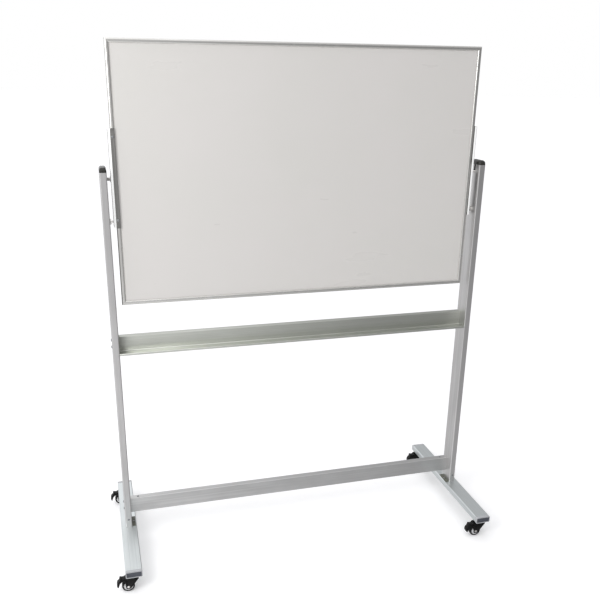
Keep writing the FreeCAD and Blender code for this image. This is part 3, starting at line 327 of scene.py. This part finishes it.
def make_finishes():
    """Every finish on the object, by the name that the rest of the script uses."""
    return {
        "upright": anodised_aluminium("anodised_extruded_aluminium_upright", "z", "#D6D5D4", "#C9C8C7"),
        # The feet's copy is lighter and bluer than the posts': painted light, standing in for the light on
        # their tops.
        "foot": anodised_aluminium("anodised_extruded_aluminium_foot", "y", "#E6EBEB", "#DADFDF"),
        "crossbar": anodised_aluminium("anodised_extruded_aluminium_crossbar", "x", "#D0D0CF", "#C4C4C3"),
        # The tray's copy is tinted green and lightened as a painted reflection on its face.
        "tray": anodised_aluminium("anodised_extruded_aluminium_tray", "x", "#CFD1CA", "#C3C5BE", 0.38, 0.52),
        "rail_level": anodised_aluminium("anodised_extruded_aluminium_rail", "x", "#E4E3DF", "#D8D7D3",
                                         0.22, 0.34),
        "rail_upright": anodised_aluminium("anodised_extruded_aluminium_stile", "z", "#E4E3DF", "#D8D7D3",
                                           0.22, 0.34),
        "insert": anodised_aluminium("mill_finish_extruded_aluminium", "z", "#BDBDBD", "#A5A5A5", 0.4, 0.55),
        "panel": lacquered_steel("gloss_lacquered_steel"),
        "core": honeycomb_board("kraft_honeycomb_board"),
        "bracket": enamelled_bracket("enamelled_steel_angle"),
        "cap": moulded_plastic("moulded_black_polypropylene", "#2E2E2A", "#22221F", 0.2, 0.32),
        "foot_cap": inset_foot_cap("moulded_grey_abs"),
        # Powder coat has the soft flow and grain of moulded plastic, only coarser.
        "plate": moulded_plastic("dark_powder_coated_steel", "#6F7167", "#5F6157", 0.5, 0.66, 1.6),
        "nylon": moulded_plastic("moulded_black_nylon", "#262626", "#1C1C1C", 0.4, 0.5),
        "fork": moulded_plastic("moulded_glass_filled_nylon", "#0A0A0A", "#050505", 0.2, 0.34, 1.0,
                                Specular_IOR_Level=0.22),
        "tyre": moulded_plastic("moulded_black_tpe", "#0E0E0E", "#080808", 0.4, 0.55, 1.2,
                                Specular_IOR_Level=0.25),
        "wheel": moulded_plastic("moulded_white_polypropylene", "#F4F4F4", "#E9EAEB", 0.25, 0.38),
        "zinc": plated_steel("zinc_plated_steel", "#A6A7A8", "#87898C", 0.26, 0.42),
        "nickel": plated_steel("bright_nickel_plated_steel", "#E9E7E4", "#D6D4D1", 0.1, 0.2),
    }


WORN_BY = {
    "upright": ["post_left", "post_right"],
    "foot": ["foot_left", "foot_right"],
    "crossbar": ["crossbar"],
    "rail_level": ["frame_rail_top", "frame_rail_bottom"],
    "rail_upright": ["frame_rail_left", "frame_rail_right"],
    "insert": ["post_inserts", "crossbar_inserts", "tray_inserts"],
    "panel": ["panel_front", "panel_rear"],
    "core": ["panel_core"],
    "nylon": ["bearing_block_left", "bearing_block_right"],
    "zinc": ["corner_keys", "base_bolts", "caster_stems"],
    "tyre": [f"caster_tyre_{corner}" for corner in CORNERS],
}


# ---------------------------------------------------------------- meshes

def smooth_by_angle(mesh, degrees=35):
    """Shade a mesh smooth, and keep the edges sharper than an angle crisp."""
    mesh.shade_smooth()
    mesh.set_sharp_from_angle(angle=math.radians(degrees))


def new_piece(name, mesh, finish, *nodes):
    """Put a finished mesh in the scene in place of CAD nodes, on their body."""
    mesh.materials.clear()
    mesh.materials.append(finish)
    piece = bpy.data.objects.new(name, mesh)
    bpy.context.scene.collection.objects.link(piece)
    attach(piece, frame["nodes"][nodes[0]]["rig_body"])
    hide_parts(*nodes)


def baked(source):
    """The mesh that an object's modifiers give. The object is removed."""
    bpy.context.view_layer.update()
    depsgraph = bpy.context.evaluated_depsgraph_get()
    mesh = bpy.data.meshes.new_from_object(source.evaluated_get(depsgraph), depsgraph=depsgraph)
    bpy.data.objects.remove(source)
    return mesh


def as_mesh(bm):
    """A mesh made from a bmesh, which is freed."""
    mesh = bpy.data.meshes.new("shape")
    bm.to_mesh(mesh)
    bm.free()
    return mesh


def rounded(mesh, width, segments, sharp):
    """A mesh with the edges sharper than an angle rounded, to a width in millimetres."""
    source = bpy.data.objects.new("shape", mesh)
    bpy.context.scene.collection.objects.link(source)
    bevel = source.modifiers.new("rounded edges", "BEVEL")
    bevel.width = width * MM
    bevel.segments = segments
    bevel.limit_method = "ANGLE"
    bevel.angle_limit = math.radians(sharp)
    result = baked(source)
    smooth_by_angle(result)
    return result


def merged(node):
    """A CAD node's shape as one joined mesh, with flat faces whole."""
    bm = bmesh.new()
    bm.from_mesh(frame["nodes"][node].data)
    bmesh.ops.remove_doubles(bm, verts=bm.verts, dist=0.003 * MM)
    bmesh.ops.dissolve_limit(bm, angle_limit=math.radians(0.5), verts=bm.verts, edges=bm.edges)
    return bm


def soften(node, finish, width):
    """Show a CAD node with its sharp edges rounded, as moulding and tumbling leave them."""
    new_piece(f"{node}_finished", rounded(as_mesh(merged(node)), width, 2, 40), finish, node)


def rounded_rectangle(middle, half_x, half_y, corner, level):
    """Points of a rectangle with round corners, going round once."""
    count = 32
    points = []
    for turn in range(count):
        angle = 2 * math.pi * (turn + 0.5) / count
        along = Vector((math.cos(angle), math.sin(angle)))
        centre = Vector((math.copysign(half_x - corner, along.x), math.copysign(half_y - corner, along.y)))
        points.append(Vector((middle.x + centre.x + corner * along.x,
                              middle.y + centre.y + corner * along.y, level)))
    return points


def finish_cap(side, finish):
    """A post's end cap: a straight rim, then a crown that draws in to a soft ridge."""
    node = f"post_cap_{side}"
    low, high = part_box(node)
    middle = (low + high) / 2
    half_x, half_y = (high.x - low.x) / 2, (high.y - low.y) / 2
    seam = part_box(f"post_{side}")[1].z
    crown = seam + CAP_RIM * MM
    edge = CAP_EDGE * MM
    rings = [rounded_rectangle(middle, half_x - edge, half_y - edge, (CAP_CORNER - CAP_EDGE) * MM, seam),
             rounded_rectangle(middle, half_x, half_y, CAP_CORNER * MM, seam + 0.5 * MM)]
    for step in range(CAP_STEPS + 1):
        turn = math.pi / 2 * step / CAP_STEPS
        drawn_in = CAP_SHOULDER * (1 - math.cos(turn)) * MM
        level = crown + (high.z - crown) * math.sin(turn)
        rings.append(rounded_rectangle(middle, half_x - drawn_in, half_y - CAP_DEPTH_SHARE * drawn_in,
                                       (CAP_CORNER + 0.1 * step) * MM, level))
    bm = bmesh.new()
    loops = [[bm.verts.new(point) for point in points] for points in rings]
    for lower, upper in zip(loops, loops[1:]):
        for index in range(len(lower)):
            after = (index + 1) % len(lower)
            bm.faces.new((lower[index], lower[after], upper[after], upper[index]))
    bm.faces.new(loops[-1])
    bm.faces.new(reversed(loops[0]))
    bmesh.ops.recalc_face_normals(bm, faces=bm.faces)
    mesh = as_mesh(bm)
    smooth_by_angle(mesh, 50)
    new_piece(f"{node}_finished", mesh, finish, node)


def solids_of(node):
    """The lowest and highest corner of each separate solid in a CAD node, in the mesh's own order."""
    bm = merged(node)
    seen = set()
    boxes = []
    for start in bm.verts:
        if start in seen:
            continue
        seen.add(start)
        reached = [start]
        for vert in reached:
            for edge in vert.link_edges:
                other = edge.other_vert(vert)
                if other not in seen:
                    seen.add(other)
                    reached.append(other)
        spans = [sorted(vert.co[axis] for vert in reached) for axis in range(3)]
        boxes.append((Vector([span[0] for span in spans]), Vector([span[-1] for span in spans])))
    bm.free()
    return boxes


def joined(meshes):
    """Several meshes as one."""
    bm = bmesh.new()
    for mesh in meshes:
        bm.from_mesh(mesh)
    return as_mesh(bm)


# ---------------------------------------------------------------- repeated details

def new_tree(name, sizes):
    """A geometry node group with a mesh in and out, and named inputs for sizes and a finish."""
    tree = bpy.data.node_groups.new(name, "GeometryNodeTree")
    tree.interface.new_socket("Seats", in_out="INPUT", socket_type="NodeSocketGeometry")
    for size in sizes:
        tree.interface.new_socket(size, in_out="INPUT", socket_type="NodeSocketFloat")
    tree.interface.new_socket("Finish", in_out="INPUT", socket_type="NodeSocketMaterial")
    tree.interface.new_socket("Mesh", in_out="OUTPUT", socket_type="NodeSocketGeometry")
    return tree, add(tree, "NodeGroupInput")


def close_tree(tree, source, shape):
    """Put a shape on every seat, facing the way that the seat says, as real geometry."""
    facing = add(tree, "GeometryNodeInputNamedAttribute", {"data_type": "FLOAT_VECTOR"}, {"Name": "facing"})
    turned = add(tree, "FunctionNodeAlignRotationToVector", {"axis": "Z"}, {"Vector": facing})
    placed = add(tree, "GeometryNodeInstanceOnPoints", inputs={
        "Points": source.outputs["Seats"], "Instance": shape, "Rotation": turned})
    real = add(tree, "GeometryNodeRealizeInstances", inputs={0: placed})
    painted = add(tree, "GeometryNodeSetMaterial", inputs={0: real, "Material": source.outputs["Finish"]})
    add(tree, "NodeGroupOutput", inputs={0: painted})
    return tree


def domed_head_tree():
    """A low domed fastener head with a six-sided socket."""
    tree, source = new_tree("domed_heads", ["Head radius", "Head height", "Socket across"])
    ball = add(tree, "GeometryNodeMeshUVSphere", inputs={"Segments": 32, "Rings": 16, "Radius": 1.0})
    size = add(tree, "ShaderNodeCombineXYZ", inputs={
        "X": source.outputs["Head radius"], "Y": source.outputs["Head radius"],
        "Z": source.outputs["Head height"]})
    dome = add(tree, "GeometryNodeTransform", inputs={"Geometry": ball, "Scale": size})
    below = add(tree, "ShaderNodeMath", {"operation": "MULTIPLY"}, {
        0: source.outputs["Head height"], 1: -1.0})
    under = add(tree, "ShaderNodeCombineXYZ", inputs={"Z": below})
    wide = add(tree, "ShaderNodeVectorMath", {"operation": "SCALE"}, {0: size, "Scale": 2.0})
    underside = add(tree, "GeometryNodeMeshCube", inputs={"Size": wide})
    lowered = add(tree, "GeometryNodeTransform", inputs={"Geometry": underside, "Translation": under})
    half = add(tree, "ShaderNodeMath", {"operation": "MULTIPLY"}, {
        0: source.outputs["Socket across"], 1: 0.5})
    key = add(tree, "GeometryNodeMeshCylinder", inputs={
        "Vertices": 6, "Radius": half, "Depth": source.outputs["Head height"]})
    over = add(tree, "ShaderNodeCombineXYZ", inputs={"Z": source.outputs["Head height"]})
    socket = add(tree, "GeometryNodeTransform", inputs={"Geometry": key, "Translation": over})
    head = add(tree, "GeometryNodeMeshBoolean", {"operation": "DIFFERENCE"}, {
        "Mesh 1": dome, "Mesh 2": (lowered, socket)})
    return close_tree(tree, source, head)


def rib_tree():
    """A small bar with rounded ends, for knurling and grip ribs."""
    tree, source = new_tree("ribs", ["Rib radius", "Rib length"])
    bar = add(tree, "GeometryNodeMeshCylinder", inputs={
        "Vertices": 8, "Side Segments": 1, "Radius": source.outputs["Rib radius"],
        "Depth": source.outputs["Rib length"]})
    return close_tree(tree, source, bar)


def grown(tree, seats, finish, **sizes):
    """The mesh that a tree grows on seats, each a place and the way that it faces."""
    mesh = bpy.data.meshes.new("seats")
    mesh.from_pydata([place for place, _ in seats], [], [])
    facing = mesh.attributes.new("facing", "FLOAT_VECTOR", "POINT")
    facing.data.foreach_set("vector", [part for _, way in seats for part in way])
    source = bpy.data.objects.new("seats", mesh)
    bpy.context.scene.collection.objects.link(source)
    modifier = source.modifiers.new("grown", "NODES")
    modifier.node_group = tree
    values = {name.replace("_", " "): value for name, value in sizes.items()} | {"Finish": finish}
    for item in tree.interface.items_tree:
        if item.in_out == "INPUT" and item.name in values:
            modifier[item.identifier] = values[item.name]
    made = baked(source)
    smooth_by_angle(made, 40)
    return made


# ---------------------------------------------------------------- fasteners

def seats_on(node, way, depth):
    """Where the heads of a node's screws sit: at the end that faces out, less the head's height."""
    seats = []
    for low, high in solids_of(node):
        middle = (low + high) / 2
        facing = Vector(way(middle))
        reach = max(abs(facing[axis]) * (high[axis] - low[axis]) / 2 for axis in range(3))
        seats.append((middle + facing * (reach - depth), facing))
    return seats


def outward(middle):
    """Away from the middle of the stand, left or right."""
    return math.copysign(1, middle.x), 0, 0


def forward(middle):
    return 0, -1, 0


def upward(middle):
    return 0, 0, 1


def off_flange(middle):
    """Forward on the left bracket and back on the right one, as their flanges face."""
    return 0, math.copysign(1, middle.x), 0


def fit_heads(tree, node, finish, way, head):
    """Show a node of screws or bolts as their heads."""
    radius, height, socket = head
    mesh = grown(tree, seats_on(node, way, height * MM), finish, Head_radius=radius * MM,
                 Head_height=height * MM, Socket_across=socket * MM)
    new_piece(f"{node}_heads", mesh, finish, node)


def fit_fasteners(finish):
    """Every screw and bolt that shows."""
    heads = domed_head_tree()
    fit_heads(heads, "crossbar_bolts", finish, outward, BOLT_HEAD)
    fit_heads(heads, "tray_bolts", finish, outward, BOLT_HEAD)
    fit_heads(heads, "post_screws", finish, forward, SCREW_HEAD)
    fit_heads(heads, "crossbar_screws", finish, upward, SCREW_HEAD)
    fit_heads(heads, "plate_screws", finish, upward, LOW_SCREW_HEAD)
    fit_heads(heads, "bracket_screws", finish, off_flange, LOW_SCREW_HEAD)


# ---------------------------------------------------------------- locks and castors

def ring(centre, radius, count):
    """Places spaced evenly on a circle about a line along X."""
    turns = [2 * math.pi * step / count for step in range(count)]
    return [centre + radius * Vector((0, math.cos(turn), math.sin(turn))) for turn in turns]


def finish_locks(finish, ribs):
    """Bright lock plungers, each with a knurled knob between the post and the board."""
    for side, way in SIDES.items():
        soften(f"lock_barrel_{side}", finish, PIN_EDGE)
        soften(f"pivot_pin_{side}", finish, PIN_EDGE)
        node = f"lock_pin_{side}"
        low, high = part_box(node)
        across = way * (KNOB_PLACE + KNOB_LENGTH / 2) * MM
        middle = Vector((across, (low.y + high.y) / 2, (low.z + high.z) / 2))
        places = ring(middle, (KNOB_RADIUS - KNURL_SINK) * MM, KNURLS)
        seats = [(place, Vector((1, 0, 0))) for place in places]
        knurl = grown(ribs, seats, finish, Rib_radius=KNURL_RADIUS * MM, Rib_length=(KNOB_LENGTH - 1) * MM)
        plunger = as_mesh(merged(node))
        smooth_by_angle(plunger)
        new_piece(f"{node}_finished", joined([plunger, knurl]), finish, node)


def drawn_side(points, low, high):
    """A side view in X and Z given thickness along Y."""
    bm = bmesh.new()
    near = [bm.verts.new((x, low, z)) for x, z in points]
    far = [bm.verts.new((x, high, z)) for x, z in points]
    bm.faces.new(near)
    bm.faces.new(reversed(far))
    for index in range(len(points)):
        after = (index + 1) % len(points)
        bm.faces.new((near[after], near[index], far[index], far[after]))
    bmesh.ops.recalc_face_normals(bm, faces=bm.faces)
    return bm


def finish_pedal(corner, finish, ribs):
    """The brake pedal: a two-eared block to lift, and a ribbed toe to press."""
    node = f"caster_pedal_{corner}"
    low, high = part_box(node)
    axle_low, axle_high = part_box(f"caster_wheel_{corner}")
    axle = (axle_low + axle_high) / 2
    middle_y = (low.y + high.y) / 2
    half = PEDAL_WIDTH / 2 * MM
    outline = [(axle.x + x * MM, axle.z + z * MM) for x, z in PEDAL_SIDE]
    lever = rounded(as_mesh(drawn_side(outline, middle_y - half, middle_y + half)), PEDAL_EDGE, 3, 35)
    toe = [Vector((axle.x + GRIP_PLACE * MM, middle_y, axle.z + level * MM)) for level in GRIP_LEVELS]
    grip = grown(ribs, [(place, Vector((0, 1, 0))) for place in toe], finish,
                 Rib_radius=GRIP_RADIUS * MM, Rib_length=GRIP_LENGTH * MM)
    new_piece(f"{node}_finished", joined([lever, grip]), finish, node)


def finish_casters(finishes, ribs):
    """Each castor: its fork, wheel and axle with soft edges, and its brake pedal."""
    for corner in CORNERS:
        soften(f"caster_fork_{corner}", finishes["fork"], FORK_EDGE)
        soften(f"caster_wheel_{corner}", finishes["wheel"], WHEEL_EDGE)
        soften(f"caster_axle_{corner}", finishes["nickel"], AXLE_EDGE)
        finish_pedal(corner, finishes["fork"], ribs)


# ---------------------------------------------------------------- camera, light and floor

def make_camera():
    """A hand-held camera in front, to the left, a little above the middle of the board."""
    data = bpy.data.cameras.new("camera")
    camera = bpy.data.objects.new("camera", data)
    bpy.context.scene.collection.objects.link(camera)
    frame_size = 600
    focal = 732.6
    centre_across, centre_down = 295.7, 336.9
    yaw, pitch, roll = 0.2725, 0.3475, -0.0144
    ahead = Vector((math.sin(yaw) * math.cos(pitch), math.cos(yaw) * math.cos(pitch), -math.sin(pitch)))
    level = Vector((math.cos(yaw), -math.sin(yaw), 0))
    down = ahead.cross(level)
    right = math.cos(roll) * level + math.sin(roll) * down
    under = -math.sin(roll) * level + math.cos(roll) * down
    turned = Matrix((right, -under, -ahead)).transposed().to_4x4()
    camera.matrix_world = Matrix.Translation((-0.6662, -2.3266, 1.6154)) @ turned
    data.sensor_width = 36
    data.lens = focal / frame_size * data.sensor_width
    data.shift_x = (frame_size / 2 - centre_across) / frame_size
    data.shift_y = (centre_down - frame_size / 2) / frame_size
    bpy.context.scene.camera = camera


def make_softbox(name, place, aim, size, power):
    """A square area light that points at a place on the object."""
    data = bpy.data.lights.new(name, "AREA")
    data.shape = "SQUARE"
    data.size = size
    data.energy = power
    lamp = bpy.data.objects.new(name, data)
    bpy.context.scene.collection.objects.link(lamp)
    lamp.rotation_euler = (Vector(aim) - Vector(place)).to_track_quat("-Z", "Y").to_euler()
    lamp.location = place
    lamp.visible_camera = False


def make_room():
    """A pale room: windows behind and to the left, a bright ceiling, and a dimmer wall to the right."""
    world = bpy.data.worlds.new("pale_room")
    bpy.context.scene.world = world
    world.use_nodes = True
    tree = world.node_tree
    tree.nodes.clear()
    way = add(tree, "ShaderNodeTexCoord")
    axis = add(tree, "ShaderNodeSeparateXYZ", inputs={0: way.outputs["Generated"]})
    across = add(tree, "ShaderNodeMapRange", {"interpolation_type": "SMOOTHSTEP"}, {
        "Value": axis.outputs["X"], "From Min": -0.05, "From Max": 0.36, "To Min": 1.1, "To Max": 0.48})
    level = add(tree, "ShaderNodeMath", {"operation": "ABSOLUTE"}, {0: axis.outputs["Z"]})
    height = add(tree, "ShaderNodeMapRange", {"interpolation_type": "SMOOTHSTEP"}, {
        "Value": level, "From Min": 0.1, "From Max": 0.52, "To Min": 0.62, "To Max": 1.08})
    behind = add(tree, "ShaderNodeMapRange", {"interpolation_type": "SMOOTHSTEP"}, {
        "Value": axis.outputs["Z"], "From Min": -0.5, "From Max": 0.5, "To Min": 0.66, "To Max": 1.0})
    depth = add(tree, "ShaderNodeMapRange", {"interpolation_type": "SMOOTHSTEP"}, {
        "Value": axis.outputs["Y"], "From Min": -0.2, "From Max": 0.2})
    round_about = add(tree, "ShaderNodeMix", {"data_type": "FLOAT"}, {0: depth, 2: height, 3: behind})
    ceiling = add(tree, "ShaderNodeMapRange", {"interpolation_type": "SMOOTHSTEP"}, {
        "Value": axis.outputs["Z"], "From Min": 0.6, "From Max": 0.95, "To Min": 1.0, "To Max": 1.5})
    wall = add(tree, "ShaderNodeMath", {"operation": "MULTIPLY"}, {0: across, 1: round_about})
    amount = add(tree, "ShaderNodeMath", {"operation": "MULTIPLY"}, {0: wall, 1: ceiling})
    room = add(tree, "ShaderNodeBackground", inputs={"Color": linear("#F6F6F8"), "Strength": amount})
    open_view = add(tree, "ShaderNodeBackground", inputs={"Color": linear("#FFFFFF"), "Strength": 1.0})
    ray = add(tree, "ShaderNodeLightPath")
    seen = add(tree, "ShaderNodeMixShader", inputs={0: ray.outputs["Is Camera Ray"], 1: room, 2: open_view})
    add(tree, "ShaderNodeOutputWorld", inputs={"Surface": seen})


def make_floor():
    """A wide pale floor that fades into the room."""
    bm = bmesh.new()
    bmesh.ops.create_circle(bm, cap_ends=True, segments=96, radius=60)
    mesh = as_mesh(bm)
    material, tree, shader = new_finish(
        "pale_sealed_floor", Roughness=0.8, Emission_Color=linear("#FFFFFF"), Emission_Strength=0.14)
    place = add(tree, "ShaderNodeTexCoord").outputs["Object"]
    wide = add(tree, "ShaderNodeMapping", inputs={"Vector": place, "Scale": per_metre(600)})
    tone = add(tree, "ShaderNodeTexNoise", inputs={"Vector": wide, "Scale": 1.0, "Detail": 3.0})
    colour = add(tree, "ShaderNodeMix", {"data_type": "RGBA"}, {
        0: tone, 6: linear("#FDFDFD"), 7: linear("#F9F9F9")})
    tree.links.new(colour.outputs[2], shader.inputs["Base Color"])
    mesh.materials.append(material)
    floor = bpy.data.objects.new("floor", mesh)
    floor.visible_glossy = False
    bpy.context.scene.collection.objects.link(floor)


# ---------------------------------------------------------------- the whole scene

def dress():
    """Give every CAD node its finish, and every worked piece its detail."""
    finishes = make_finishes()
    for finish, nodes in WORN_BY.items():
        for node in nodes:
            mesh = frame["nodes"][node].data
            mesh.materials.clear()
            mesh.materials.append(finishes[finish])
    ribs = rib_tree()
    for side in SIDES:
        soften(f"side_bracket_{side}", finishes["bracket"], BRACKET_EDGE)
        soften(f"foot_plate_{side}", finishes["plate"], PLATE_EDGE)
        finish_cap(side, finishes["cap"])
    soften("foot_caps", finishes["foot_cap"], FOOT_CAP_EDGE)
    soften("tray", finishes["tray"], TRAY_EDGE)
    finish_locks(finishes["nickel"], ribs)
    finish_casters(finishes, ribs)
    fit_fasteners(finishes["zinc"])


bpy.context.scene.view_settings.view_transform = "Standard"
make_camera()
make_room()
make_floor()
make_softbox("left_softbox", place=(-1.7, -1.4, 1.9), aim=(-0.3, 0, 1.4), size=1.0, power=20)
dress()
